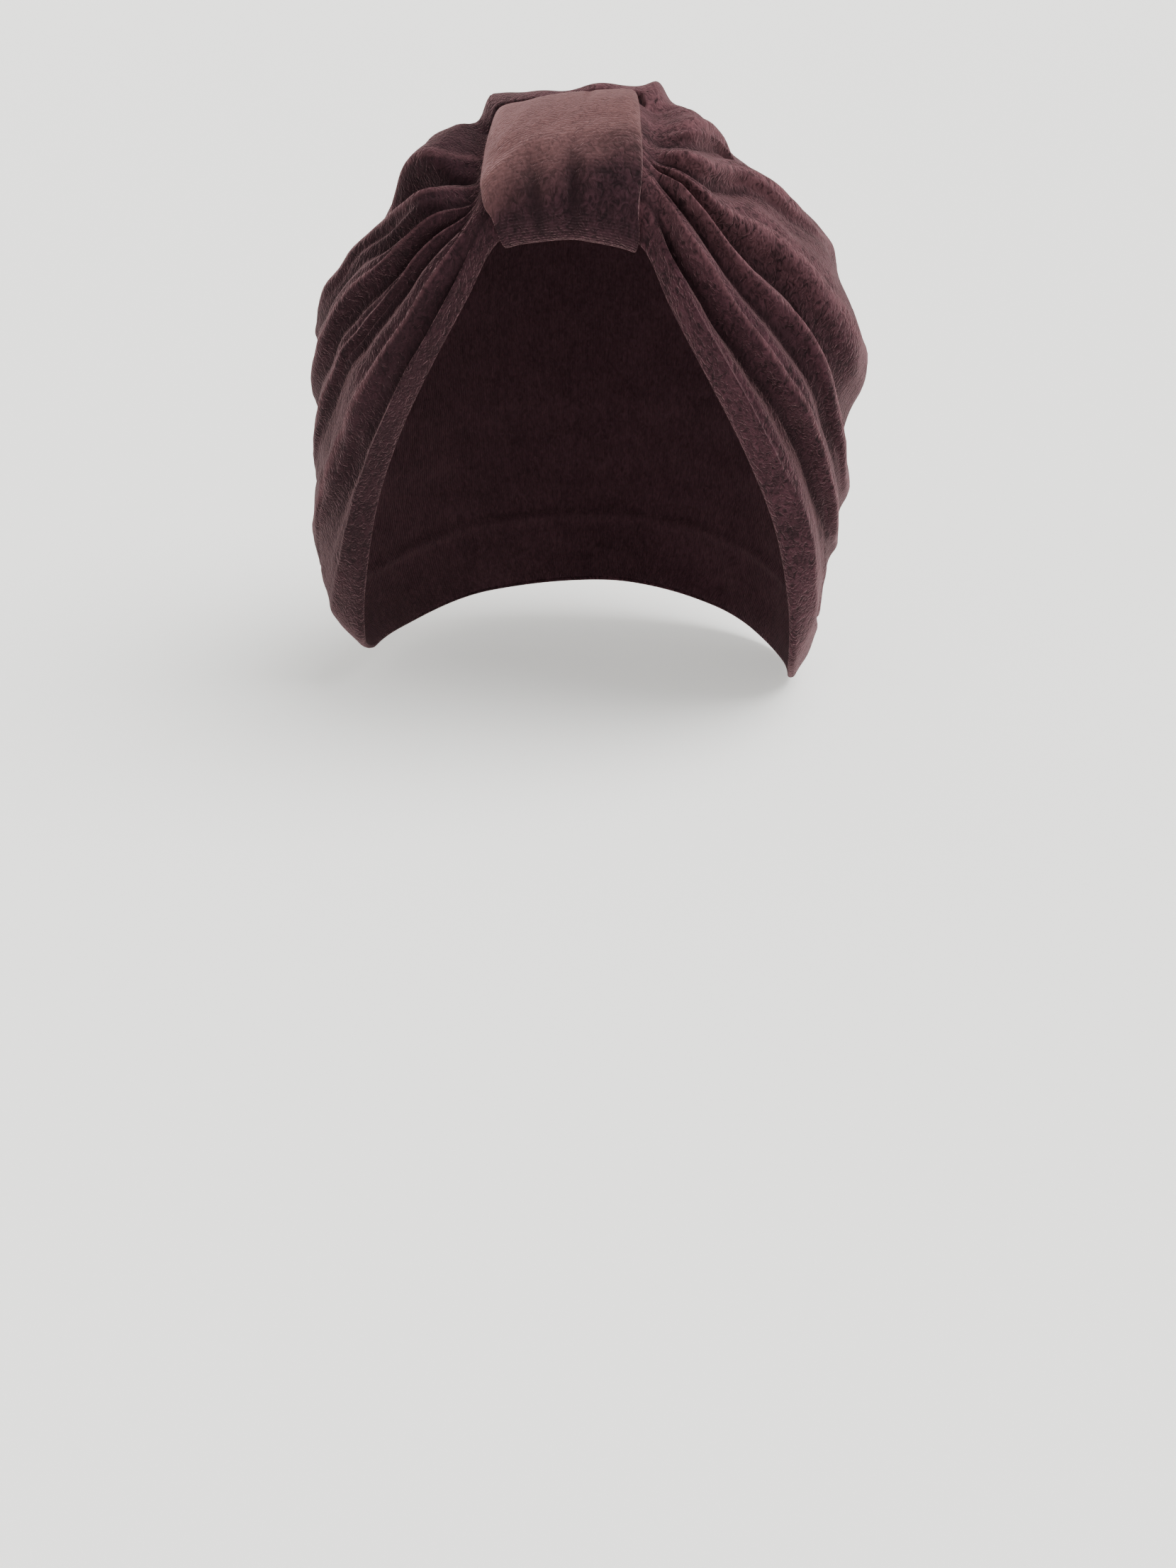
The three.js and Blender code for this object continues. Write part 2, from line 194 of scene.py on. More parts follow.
@dataclass
class HeadForm:
    """The smooth head form under the folds, read by azimuth and by distance above the rim."""

    pole_y: float = 25.0
    centre_y: float = 8.0
    half_width: float = 87.0
    half_length: float = 93.0
    equator_z: float = -88.0
    crown_rise: float = 90.4
    side_drop: float = 230.0
    nape_drop: float = 130.0
    side_power: float = 1.85
    front_power: float = 2.5
    back_power: float = 2.2
    below_rim: float = 15.0
    # Azimuth, and the rim's height there
    rim: tuple[Pair, ...] = (
        (0, -26), (6, -27), (12, -29), (14, -32), (16, -38), (20, -53), (26, -73), (34, -97),
        (41, -117), (53, -153), (66, -180), (82, -190), (100, -191), (137, -185), (180, -180),
    )
    rim_tilt: float = 4.0
    azimuth_step: float = 0.5
    samples: int = 500
    fine_samples: int = 2001

    def __post_init__(self) -> None:
        """Lay out the meridians of the form, evenly spaced along each."""
        self.rim_curve = TableCurve(*zip(*self.rim))
        self.azimuths = np.arange(-180.0, 180.0 + self.azimuth_step, self.azimuth_step)
        rows = [self._meridian(azimuth) for azimuth in self.azimuths]
        self.lengths = np.array([row[0] for row in rows])
        self.reaches = np.array([row[1] for row in rows])
        self.heights = np.array([row[2] for row in rows])

    def rim_height(self, azimuth: float) -> float:
        """Give the rim's height, which lies a little lower on the right."""
        tilt = self.rim_tilt * math.sin(math.radians(azimuth)) * abs(math.sin(math.radians(azimuth)))
        return float(self.rim_curve(abs(azimuth))) - tilt

    def _oval_reach(self, azimuth: float) -> float:
        """Give the distance from the pole to the form's widest oval in one direction."""
        s, c = math.sin(math.radians(azimuth)), math.cos(math.radians(azimuth))
        offset = self.pole_y - self.centre_y
        p = (s / self.half_width) ** 2 + (c / self.half_length) ** 2
        q = offset * c / self.half_length**2
        return (q + math.sqrt(q * q + p * (1.0 - (offset / self.half_length) ** 2))) / p

    def _drop(self, azimuth: Array) -> Array:
        """Give how slowly the form draws in below its widest oval."""
        backward = np.maximum(0.0, -np.cos(np.radians(azimuth)))
        return self.side_drop - (self.side_drop - self.nape_drop) * backward**2

    def _meridian(self, azimuth: float) -> tuple[float, Array, Array]:
        """Follow the form from below the rim to the pole.

        Args:
            azimuth: Direction from the pole, in degrees from the front.

        Returns:
            The cloth's length from rim to pole, and the reach and height of each sample.
        """
        forward = math.cos(math.radians(azimuth))
        tip = self.front_power if forward > 0 else self.back_power
        power = self.side_power + (tip - self.side_power) * forward**2
        turn = np.linspace(-math.pi / 2, math.pi / 2, self.fine_samples)
        up, out = np.sin(turn), np.maximum(np.cos(turn), 0.0)
        above = turn > 0
        rounded = np.abs(up) ** (2.0 / power)
        height = np.where(above, self.crown_rise * rounded, self._drop(azimuth) * up)
        reach = self._oval_reach(azimuth) * np.where(above, out ** (2.0 / power), out)
        height = height + self.equator_z
        steps = np.hypot(np.diff(reach), np.diff(height))
        along = np.concatenate([[0.0], np.cumsum(steps)])
        along -= np.interp(self.rim_height(azimuth), height, along)
        even = np.linspace(-self.below_rim, along[-1], self.samples)
        return along[-1], np.interp(even, along, reach), np.interp(even, along, height)

    def cloth_length(self, azimuth: Array) -> Array:
        """Give the cloth's length from the rim to the pole."""
        return np.interp(azimuth, self.azimuths, self.lengths)

    def place(self, azimuth: Array, along: Array) -> tuple[Array, Array]:
        """Find points of the form and their outward directions.

        Args:
            azimuth: Direction of each point from the pole, in degrees, minus to the left.
            along: Distance of each point above the rim along the cloth.

        Returns:
            The points and the unit directions, one per row.
        """
        column = np.clip((azimuth + 180.0) / self.azimuth_step, 0, len(self.azimuths) - 1.001)
        length = self.cloth_length(azimuth)
        sample = (along + self.below_rim) / (length + self.below_rim) * (self.samples - 1)
        sample = np.clip(sample, 0, self.samples - 1.001)
        i, k = column.astype(int), sample.astype(int)
        u, v = column - i, sample - k

        def blend(table: Array) -> Array:
            """Read a table between its columns and samples."""
            near = table[i, k] * (1 - v) + table[i, k + 1] * v
            far = table[i + 1, k] * (1 - v) + table[i + 1, k + 1] * v
            return near * (1 - u) + far * u

        reach, height = blend(self.reaches), blend(self.heights)
        turn = np.radians(azimuth)
        points = np.stack([reach * np.sin(turn), self.pole_y - reach * np.cos(turn), height], axis=1)
        tall = np.where(height > self.equator_z, self.crown_rise, self._drop(azimuth))
        outward = np.stack(
            [
                points[:, 0] / self.half_width**2,
                (points[:, 1] - self.centre_y) / self.half_length**2,
                (height - self.equator_z) / tall**2,
            ],
            axis=1,
        )
        return points, outward / np.linalg.norm(outward, axis=1, keepdims=True)


@dataclass(frozen=True)
class Fold:
    """One fold line: a crest or a crease, from the loop round to the nape.

    The distances loop, edge, temple, ear and nape are above the rim along the cloth. rise is the
    height over the form at the temple and side is the height at the ear. Pairs are left and right.
    """

    name: str
    crest: bool
    rise: Pair
    side: Pair
    loop: float
    edge: Pair
    temple: Pair
    ear: Pair
    nape: float


FOLDS = (
    Fold("edge_roll", True, (3, 4), (8.5, -2), 2.5, (2.5, 6), (4.5, 12), (20, 22), 18),
    Fold("edge_crease", False, (0.5, -1), (10, -1.5), 6, (4.6, 13.8), (9, 26), (38, 44), 34),
    Fold("inner_roll", True, (6, 7.5), (10, 0.5), 14, (19.5, 26), (36.5, 42), (50, 54), 42),
    Fold("inner_crease", False, (3, 3), (6.5, -1), 16, (21.5, 29), (40.5, 47), (58, 61), 50),
    Fold("band_pleat", True, (6.5, 9), (6.5, 1.5), 19, (25, 34), (50, 63), (72, 76), 60),
    Fold("band_crease", False, (3, -2.5), (3, -2.5), 20.5, (27, 35.5), (55, 70), (80, 89), 68),
    Fold("side_pleat", True, (9.5, 8), (4, 7), 22.5, (29.5, 38.5), (64, 92), (96, 130), 100),
    Fold("side_crease", False, (6, 4), (2.6, 5), 24, (31, 41), (69, 97), (103, 140), 120),
    Fold("upper_pleat", True, (12, 9), (4.5, 4.5), 29.5, (41, 47), (85, 107), (116, 155), 140),
    Fold("upper_crease", False, (-1, 1), (2.2, 2), 33, (46, 52), (92, 113), (126, 163), 155),
    Fold("top_pleat", True, (8, 4.5), (-1.5, 0), 40, (58, 64), (106, 120), (143, 172), 170),
    Fold("crown_crease", False, (3.6, 1), (-4, -4), 50, (75, 76), (122, 127), (160, 182), 184),
    Fold("crown_puff", True, (-0.5, -0.5), (-4, -3), 58, (86.5, 87), (140, 143), (180, 196), 200),
    Fold("crown_slope", False, (-2, -2), (-2.5, -2.5), 69, (101, 101), (158, 160), (200, 208), 215),
)
RIM_RISE, RIM_SIDE = (-2.0, -2.5), (1.0, -6.0)


@dataclass(frozen=True)
class Tuck:
    """A place where one pleat drops behind the next, so the outline has a notch."""

    azimuth: float
    spread: float
    row: float
    rows: float
    depth: float


TUCKS = (
    Tuck(azimuth=-54, spread=9, row=10.5, rows=0.9, depth=10),
    Tuck(azimuth=-40, spread=10, row=9.3, rows=0.9, depth=5),
    Tuck(azimuth=54, spread=8, row=11.0, rows=0.8, depth=5),
    Tuck(azimuth=76, spread=9, row=7.8, rows=0.6, depth=5),
)
TEMPLE, EAR = 40.0, 72.0
STATIONS = (0.0, 20.0, TEMPLE, EAR, 130.0, 180.0)
SLIT_LINE = 12
LAST_LINE = len(FOLDS) + 1
CRESTS = np.array([fold.crest for fold in FOLDS] + [True])


@dataclass
class Drape:
    """The cloth's surface over the form: pleats, the bundle under the loop and the ridge behind."""

    form: HeadForm
    gather_height: float = 7.5
    shoulders: Pair = (2.5, 5.0)
    gather_length: float = 66.0
    gather_skew: float = 1.3
    gather_tilt: float = 0.085
    tilt_about: float = 20.0
    gather_flat: float = 24.0
    gather_fade: float = 50.0
    gather_reach: float = 30.0
    gather_round: float = 0.8
    lip_rise: float = 4.0
    lip_from: float = 22.5
    lip_to: float = 30.5
    lip_wave: float = 0.7
    # Share, length and phase of each wave along the lip
    lip_waves: tuple[Triple, ...] = ((1.0, 5.2, 0.8), (0.7, 2.6, 0.0))
    lip_ears: Pair = (2.6, 4.0)
    ear_at: float = 25.5
    ear_width: float = 3.8
    pinch_from: float = 24.0
    pinch_to: float = 31.0
    valley_depth: float = 7.0
    valley_at: float = 26.0
    valley_width: float = 5.5
    barrel_rise: float = 7.5
    barrel_foot: float = 5.0
    barrel_length: float = 26.0
    barrel_from: float = 24.0
    barrel_to: float = 32.0
    overhang: float = 0.42
    crest_sharpness: float = 0.4
    # Where the painted highlight along the crests starts, and how the painted shade deepens into the creases
    crest_line: float = 0.98
    crease_power: float = 1.5
    fade_from: float = 62.0
    fade_to: float = 135.0
    fade_least: float = 0.25
    nape_meet: Pair = (110.0, 165.0)
    lean: float = -4.5
    lean_power: float = 0.6
    wrinkle_rise: float = 0.7
    wrinkle_count: float = 1.5
    wrinkle_wander: float = 2.2
    wrinkle_at: float = 30.0
    wrinkle_spread: float = 26.0
    # How much of the wrinkles is steady, and how much comes and goes
    wrinkle_share: Pair = (0.6, 0.4)
    wrinkle_zoom: float = 0.4
    still_edge: float = 8.0
    dent_rise: float = 0.6
    crease_rise: float = 0.35
    hem_depth: float = 1.0
    hem_width: float = 1.6
    hem_groove: float = 1.4
    # Height of the swell beside the seam, and its width in seam widths
    hem_swell: Pair = (0.5, 4.0)
    hem_from: Pair = (42.0, 58.0)
    # Azimuth, and the seam's distance above the rim there
    hem_table: tuple[Pair, ...] = ((40, 46), (55, 42), (61, 36), (73, 28), (86, 25), (180, 25))
    aim_steps: int = 30
    aim_reach: float = 100.0

    def __post_init__(self) -> None:
        """Prepare the fold lines' curves and the cloth's unevenness."""
        self.lines: dict[Hand, list[tuple[TableCurve, TableCurve]]] = {}
        for hand in Hand:
            self.lines[hand] = []
            lengths = self.form.cloth_length(np.array(STATIONS) * (2 * hand.value - 1))
            for fold in FOLDS:
                h = hand.value
                stops = (fold.loop, fold.edge[h], fold.temple[h], fold.ear[h], fold.nape, fold.nape)
                above = np.array(stops)
                curves = (TableCurve(STATIONS, above), TableCurve(STATIONS, lengths - above))
                self.lines[hand].append(curves)
        self.dents = Crumple(seed=11, wavelength=46.0)
        self.creases = Crumple(seed=12, wavelength=15.0)
        self.wander = Crumple(seed=13, wavelength=60.0)
        self.hem_line = TableCurve(*zip(*self.hem_table))

    def line_along(self, azimuth: Array, line: int) -> Array:
        """Give a line's distance above the rim.

        Args:
            azimuth: Directions in degrees, minus to the left.
            line: 0 for the rim, then the folds in order, then the pole.

        Returns:
            The distance along the cloth in each direction.
        """
        length = self.form.cloth_length(azimuth)
        if line <= 0:
            return np.zeros_like(length)
        if line >= LAST_LINE:
            return length
        angle = np.abs(azimuth)
        share = min(1.0, FOLDS[line - 1].loop / FOLDS[SLIT_LINE - 1].loop)
        sides = []
        for hand in Hand:
            above, below = self.lines[hand][line - 1]
            sides.append((1 - share) * above(angle) + share * (length - below(angle)))
        return np.where(azimuth < 0, sides[0], sides[1])

    def line_rise(self, azimuth: Array, line: int) -> Array:
        """Give a line's height over the form in each direction, before it fades."""
        if line >= LAST_LINE:
            return np.zeros_like(azimuth)
        rise, side = (RIM_RISE, RIM_SIDE) if line <= 0 else (FOLDS[line - 1].rise, FOLDS[line - 1].side)
        ease = smoothstep(np.abs(azimuth), TEMPLE, EAR)
        left, right = (rise[h.value] + (side[h.value] - rise[h.value]) * ease for h in Hand)
        meet = smoothstep(np.abs(azimuth), *self.nape_meet) / 2
        return np.where(azimuth < 0, left, right) * (1 - meet) + np.where(azimuth < 0, right, left) * meet

    def along(self, azimuth: Array, row: Array) -> Array:
        """Give the distance above the rim of places between the lines."""
        line, part, pick = self._steps(row)
        ladder = self._ladder(azimuth)
        low, high = ladder[line, pick], ladder[line + 1, pick]
        return low + (high - low) * part

    def _ladder(self, azimuth: Array) -> Array:
        """Give every line's distance above the rim, one line per row."""
        return np.stack([self.line_along(azimuth, i) for i in range(LAST_LINE + 1)])

    @staticmethod
    def _steps(row: Array) -> tuple[Array, Array, Array]:
        """Split rows into the line below, the part above it and the point's number."""
        line = np.minimum(row, LAST_LINE - 1e-9).astype(int)
        return line, row - line, np.arange(len(row))

    @staticmethod
    def _crest(line: Array, part: Array) -> Array:
        """Give 1 along the crests and 0 along the creases, eased between them."""
        return np.where(CRESTS[line], np.sin(part * math.pi / 2), np.cos(part * math.pi / 2))

    def _hang(self, azimuth: Array, row: Array) -> Array:
        """Give how far the crests roll down over the creases below them."""
        line, part, pick = self._steps(row)
        ladder = self._ladder(azimuth)
        to_crest = CRESTS[line]
        base = np.where(to_crest, line, np.maximum(line - 1, 0))
        spacing = ladder[base + 1, pick] - ladder[base, pick]
        crest = self._crest(line, part)
        below = 1 - smoothstep(row, SLIT_LINE - 0.5, SLIT_LINE + 0.5)
        return self.overhang * spacing * crest**2 * below * smoothstep(row, 0.0, 2.0)

    def middle(self, row: Array) -> Array:
        """Give the sideways place of the loop's middle, which leans to the left on its way back."""
        front = self.along(np.zeros_like(row), row)
        return self.lean * np.minimum(1.0, front / FOLDS[SLIT_LINE - 1].loop) ** self.lean_power

    def _pleats(self, azimuth: Array, row: Array) -> Array:
        """Give the height of the pleats: round crests between sharp creases."""
        line, part, pick = self._steps(row)
        ladder = np.stack([self.line_rise(azimuth, i) for i in range(LAST_LINE + 1)])
        low, high = ladder[line, pick], ladder[line + 1, pick]
        sharp = np.where(line < 2, 0.0, self.crest_sharpness)
        up, down = np.sin(part * math.pi / 2), np.cos(part * math.pi / 2)
        rising = low + (high - low) * (up * (1 - sharp) + (1 - down) * sharp)
        falling = high + (low - high) * (down * (1 - sharp) + (1 - up) * sharp)
        top = low * (1 - part) ** 2
        return np.where(line == LAST_LINE - 1, top, np.where(CRESTS[line], rising, falling))

    @staticmethod
    def _tucks(azimuth: Array, row: Array) -> Array:
        """Give the depth of the notches between the pleats."""
        depth = np.zeros_like(row)
        for tuck in TUCKS:
            sideways, upward = (azimuth - tuck.azimuth) / tuck.spread, (row - tuck.row) / tuck.rows
            depth = depth + tuck.depth * np.exp(-(sideways**2) - upward**2)
        return depth

    def _lip(self, x: Array, row: Array, aside: Array) -> Array:
        """Give the height of the ridge of cloth behind the loop, with an ear at each end."""
        part = np.clip(row - SLIT_LINE, 0.0, 2.0)
        ears = np.where(x < 0, *self.lip_ears) * bell(aside, self.ear_at, self.ear_width)
        waves = sum(share * np.sin(x / length + phase) for share, length, phase in self.lip_waves)
        ridge = self.lip_rise + self.lip_wave * waves
        ridge = ridge * (1 - smoothstep(aside, self.lip_from, self.lip_to))
        return (ridge + ears) * np.sin(part * math.pi / 2)

    def _hem(self, azimuth: Array, along: Array) -> Array:
        """Give the depth of the hem's seam, which runs into the edge crease at the temples."""
        angle = np.abs(azimuth)
        line = self.hem_line(angle)
        groove = bell(along, line, self.hem_width)
        high, wide = self.hem_swell
        swell = high * bell(along, line, wide * self.hem_width)
        return self.hem_depth * (swell - self.hem_groove * groove) * smoothstep(angle, *self.hem_from)

    def _bundle(self, x: Array, row: Array, aside: Array) -> Array:
        """Give the swell of the gathered cloth, with a valley at each edge of the loop."""
        front = self.along(np.zeros_like(row), row)
        share = np.clip(front / self.gather_length, 0, 1)
        swell = np.sin(math.pi * share**self.gather_skew) ** self.gather_round
        shoulder = np.where(x < 0, *self.shoulders) * np.minimum(1.0, aside / self.gather_flat) ** 2
        held = np.clip(x, -self.gather_reach, self.gather_reach)
        shoulder = shoulder + self.gather_tilt * (held - self.tilt_about)
        fade = 1 - smoothstep(aside, self.gather_flat, self.gather_fade)
        valley = bell(aside, self.valley_at, self.valley_width)
        round_foot = 1 - np.exp(-front / self.barrel_foot)
        barrel = self.barrel_rise * round_foot * bell(front, 0.0, self.barrel_length)
        barrel = barrel * (1 - smoothstep(aside, self.barrel_from, self.barrel_to))
        return ((self.gather_height + shoulder) * fade - self.valley_depth * valley) * swell + barrel

    def surface(
        self, azimuth: Array, row: Array, lift: Union[Array, float] = 0.0, plain: bool = False
    ) -> Array:
        """Find points of the crown's outer surface.

        Args:
            azimuth: Direction of each point, in degrees, minus to the left.
            row: Place of each point between the lines, counted from the rim.
            lift: Height over the surface.
            plain: Leave out the pleats and the small unevenness, as under the loop.

        Returns:
            The points in millimetres, one per row.
        """
        along = self.along(azimuth, row)
        place, outward = self.form.place(azimuth, along)
        behind = np.abs(azimuth) > 90
        aside = np.where(behind, self.form.half_width, np.abs(place[:, 0] - self.middle(row)))
        height = self._bundle(place[:, 0], row, aside) + lift
        if not plain:
            free = smoothstep(aside, self.pinch_from, self.pinch_to)
            angle = np.abs(azimuth)
            alive = 1 - (1 - self.fade_least) * smoothstep(angle, self.fade_from, self.fade_to)
            hang = self._hang(azimuth, row) * free * alive
            place, outward = self.form.place(azimuth, along - hang)
            height = height + self._pleats(azimuth, row) * free * alive - self._tucks(azimuth, row)
            height = height + self._lip(place[:, 0], row, aside)
            height = height + self._detail(azimuth, row, along, place, free)
        return place + outward * height[:, None]

    def _detail(self, azimuth: Array, row: Array, along: Array, place: Array, free: Array) -> Array:
        """Give the small unevenness that the cloth has on top of its pleats.

        Args:
            azimuth: Direction of each point.
            row: Place between the lines.
            along: Distance above the rim.
            place: The form's points.
            free: 0 under the loop to 1 clear of it.

        Returns:
            A height for each point, which dies away at the rim.
        """
        edge = smoothstep(along, 0.0, self.still_edge)
        wave = np.sin(2 * math.pi * row * self.wrinkle_count + self.wrinkle_wander * self.wander.at(place))
        near = bell(np.abs(azimuth), self.wrinkle_at, self.wrinkle_spread) * (row < SLIT_LINE + 1)
        steady, patchy = self.wrinkle_share
        patches = steady + patchy * self.creases.at(place * self.wrinkle_zoom)
        wrinkles = self.wrinkle_rise * wave * near * patches
        uneven = self.dent_rise * self.dents.at(place) + self.crease_rise * self.creases.at(place)
        return (wrinkles + uneven) * free * edge + self._hem(azimuth, along)

    def painted_fold_marks(self, azimuth: Array, row: Array) -> dict[str, Array]:
        """Give the painted shade of places down in the creases and the painted highlight along the crests.

        Args:
            azimuth: Direction of each place.
            row: Place between the lines.

        Returns:
            Two marks from 0 to 1 for each place, painted shade and painted highlight, which die away round
            the back.
        """
        line, part, _ = self._steps(row)
        crest = self._crest(line, part)
        below = 1 - smoothstep(row, SLIT_LINE - 1.0, SLIT_LINE)
        alive = 1 - smoothstep(np.abs(azimuth), self.fade_from, self.fade_to)
        shown = below * alive * smoothstep(row, 1.0, 2.0)
        crests = smoothstep(crest, self.crest_line, 1.0) * shown
        return {PAINTED_FOLD_SHADE: (1 - crest) ** self.crease_power * shown, PAINTED_CREST_LIGHT: crests}

    def azimuth_aside(self, aside: Array, row: Array) -> Array:
        """Find the direction in which a row is a given distance to the side.

        Args:
            aside: Sideways places in millimetres.
            row: The row of each place.

        Returns:
            The directions in degrees.
        """
        azimuth = np.zeros_like(aside)
        for _ in range(self.aim_steps):
            off = aside - self.surface(azimuth, row, plain=True)[:, 0]
            azimuth = azimuth + np.degrees(off / self.aim_reach)
        return azimuth


def mesh_object(
    name: str,
    points: Array,
    faces: Sequence[Sequence[int]],
    uvs: Array,
    marks: dict[str, Array],
    girth: float = math.inf,
) -> bpy.types.Object:
    """Make a smooth mesh object in metres.

    Args:
        name: The object's name.
        points: Corners in millimetres.
        faces: Corner numbers of each face.
        uvs: The cloth's flat coordinates in millimetres, one per corner.
        marks: Values from 0 to 1 for each corner, by name, which the material reads as painted shade and
            painted highlight.
        girth: The flat width after which the cloth meets itself again.

    Returns:
        The object, linked to the scene.
    """
    mesh = bpy.data.meshes.new(name)
    mesh.from_pydata((points * MM).tolist(), [], [list(face) for face in faces])
    layer = mesh.uv_layers.new(name="cloth")
    corners = np.empty(len(mesh.loops), dtype=np.int32)
    mesh.loops.foreach_get("vertex_index", corners)
    flat = uvs[corners]
    starts = np.array([polygon.loop_start for polygon in mesh.polygons])
    sizes = np.array([polygon.loop_total for polygon in mesh.polygons])
    span = np.maximum.reduceat(flat[:, 0], starts) - np.minimum.reduceat(flat[:, 0], starts)
    across_seam = np.repeat(span > girth / 2, sizes) & (flat[:, 0] < 0)
    flat[across_seam, 0] += girth
    layer.data.foreach_set("uv", (flat * MM).astype(np.float32).ravel())
    for mark, values in marks.items():
        mesh.attributes.new(mark, "FLOAT", "POINT").data.foreach_set("value", values.astype(np.float32))
    mesh.polygons.foreach_set("use_smooth", np.ones(len(mesh.polygons), dtype=bool))
    mesh.update()
    return link_object(name, mesh)


@dataclass
class Crown:
    """The cap's cloth: two skins joined round the rim and round the slit behind the loop."""

    drape: Drape
    cloth: float = 2.4
    columns: int = 112
    crowding: float = 1.3
    rows_per_fold: int = 13
    rows_at_top: int = 22
    rim_turns: int = 4
    slit_end: float = 24.2
    azimuth_mm: float = 1.5
    rim_probe: float = 0.2

    def _columns(self) -> tuple[Array, tuple[int, int]]:
        """Lay out the columns round the cap, with one at each end of the slit.

        Returns:
            The azimuths from the nape by the left, and the numbers of the slit's columns.
        """
        half = 180.0 * (np.arange(1, self.columns) / self.columns) ** self.crowding
        azimuths = np.concatenate([[-180.0], -half[::-1], [0.0], half])
        asides = self.drape.lean + np.array([-self.slit_end, self.slit_end])
        ends = self.drape.azimuth_aside(asides, np.full(2, float(SLIT_LINE)))
        numbers = [int(np.argmin(np.abs(azimuths - end))) for end in ends]
        azimuths[numbers] = ends
        return azimuths, (numbers[0], numbers[1])

    def _rows(self) -> tuple[Array, int]:
        """Lay out the rows from the rim to just below the pole.

        Returns:
            The rows as line numbers with parts, and how many of them the slit takes.
        """
        rows: list[float] = []
        for line in range(LAST_LINE):
            count = self.rows_at_top if line == LAST_LINE - 1 else self.rows_per_fold
            rows.extend(line + i / count for i in range(count))
        return np.array(rows), self.rows_per_fold // 2

    def build(self) -> bpy.types.Object:
        """Build the crown's mesh.

        Returns:
            The crown, with its pile outside and its backing inside.
        """
        azimuths, (left, right) = self._columns()
        rows, slit_rows = self._rows()
        nc, nr = len(azimuths), len(rows)
        az, row = np.repeat(azimuths, nr), np.tile(rows, nc)
        flat = np.stack([az * self.azimuth_mm, self.drape.along(az, row)], axis=1)
        pole = np.array([0.0]), np.array([float(LAST_LINE)])
        points, uvs = [], []
        for lift in (0.0, -self.cloth):
            points += [self.drape.surface(az, row, lift), self.drape.surface(*pole, lift)]
            uvs += [flat, np.array([[0.0, self.drape.form.lengths[0]]])]
        skin = nr * nc + 1
        slit_row = int(np.searchsorted(rows, SLIT_LINE))
        faces, slots = self._skins(nc, nr, skin, (left, right), (slit_row, slit_row + slit_rows))
        turns, rim_faces = self._rim(azimuths, nr, skin, 2 * skin)
        points.append(turns)
        round_rim = np.repeat(azimuths, self.rim_turns) * self.azimuth_mm
        uvs.append(np.stack([round_rim, np.zeros(len(turns))], axis=1))
        slots += [Skin.PILE.value] * len(rim_faces)
        girth = 360.0 * self.azimuth_mm
        corners, flat = np.concatenate(points), np.concatenate(uvs)
        unmarked = np.zeros(len(corners) - nr * nc)
        # Painted shade in the creases and painted highlight on the crests, on the outer skin only
        marks = self.drape.painted_fold_marks(az, row)
        marks = {name: np.concatenate([values, unmarked]) for name, values in marks.items()}
        made = mesh_object("velvet_crown", corners, faces + rim_faces, flat, marks, girth)
        made.data.polygons.foreach_set("material_index", np.array(slots, dtype=np.int32))
        return made

    def _skins(
        self, nc: int, nr: int, skin: int, columns: tuple[int, int], slit: tuple[int, int]
    ) -> tuple[list[list[int]], list[int]]:
        """List the faces of both skins and of the slit's cut edges.

        Args:
            nc: Number of columns.
            nr: Number of rows.
            skin: Number of points in one skin.
            columns: First and last column of the slit.
            slit: First and last row of the slit.

        Returns:
            The faces, and the material slot of each.
        """
        faces: list[list[int]] = []
        slots: list[int] = []

        def at(column: int, row: int, inner: bool) -> int:
            """Number a point of a skin."""
            own = nr * nc if row == nr else (column % nc) * nr + row
            return own + (skin if inner else 0)

        def in_slit(column: int, row: int) -> bool:
            """Say whether a cell is cut away by the slit."""
            return columns[0] <= column < columns[1] and slit[0] <= row < slit[1]

        def add(corners: list[int], slot: Skin) -> None:
            """Add a face, without the corners that meet at the pole."""
            faces.append(list(dict.fromkeys(corners)))
            slots.append(slot.value)

        for column in range(nc):
            for row in range(nr):
                if in_slit(column, row):
                    continue
                ring = [(column, row), (column + 1, row), (column + 1, row + 1), (column, row + 1)]
                add([at(c, r, False) for c, r in ring], Skin.PILE)
                add([at(c, r, True) for c, r in reversed(ring)], Skin.BACKING)
                for (c0, r0), (c1, r1), (dc, dr) in (
                    (ring[1], ring[0], (0, -1)),
                    (ring[2], ring[1], (1, 0)),
                    (ring[3], ring[2], (0, 1)),
                    (ring[0], ring[3], (-1, 0)),
                ):
                    if in_slit(column + dc, row + dr):
                        outer = [at(c0, r0, False), at(c1, r1, False)]
                        add([*outer, at(c1, r1, True), at(c0, r0, True)], Skin.PILE)
        return faces, slots

    def _rim(self, azimuths: Array, nr: int, skin: int, first: int) -> tuple[Array, list[list[int]]]:
        """Turn the rim's folded edge from the outer skin to the inner one.

        Args:
            azimuths: The columns.
            nr: Number of rows in a skin.
            skin: Number of points in one skin.
            first: The number that the first new point gets.

        Returns:
            The edge's points and faces.
        """
        nc = len(azimuths)
        zero = np.zeros(nc)
        outer, inner = self.drape.surface(azimuths, zero), self.drape.surface(azimuths, zero, -self.cloth)
        down = outer - self.drape.surface(azimuths, np.full(nc, self.rim_probe))
        down /= np.linalg.norm(down, axis=1, keepdims=True)
        centre, half = (outer + inner) / 2, (outer - inner) / 2
        turns = [
            centre + half * math.cos(turn) + down * (self.cloth / 2) * math.sin(turn)
            for turn in math.pi * np.arange(1, self.rim_turns + 1) / (self.rim_turns + 1)
        ]
        points = np.stack(turns, axis=1).reshape(-1, 3)

        def at(column: int, turn: int) -> int:
            """Number a point of the edge, with both skins' rims as its ends."""
            c = column % nc
            if turn == 0:
                return c * nr
            return skin + c * nr if turn > self.rim_turns else first + c * self.rim_turns + turn - 1

        faces = [
            [at(c, t + 1), at(c + 1, t + 1), at(c + 1, t), at(c, t)]
            for c in range(nc)
            for t in range(self.rim_turns + 1)
        ]
        return points, faces


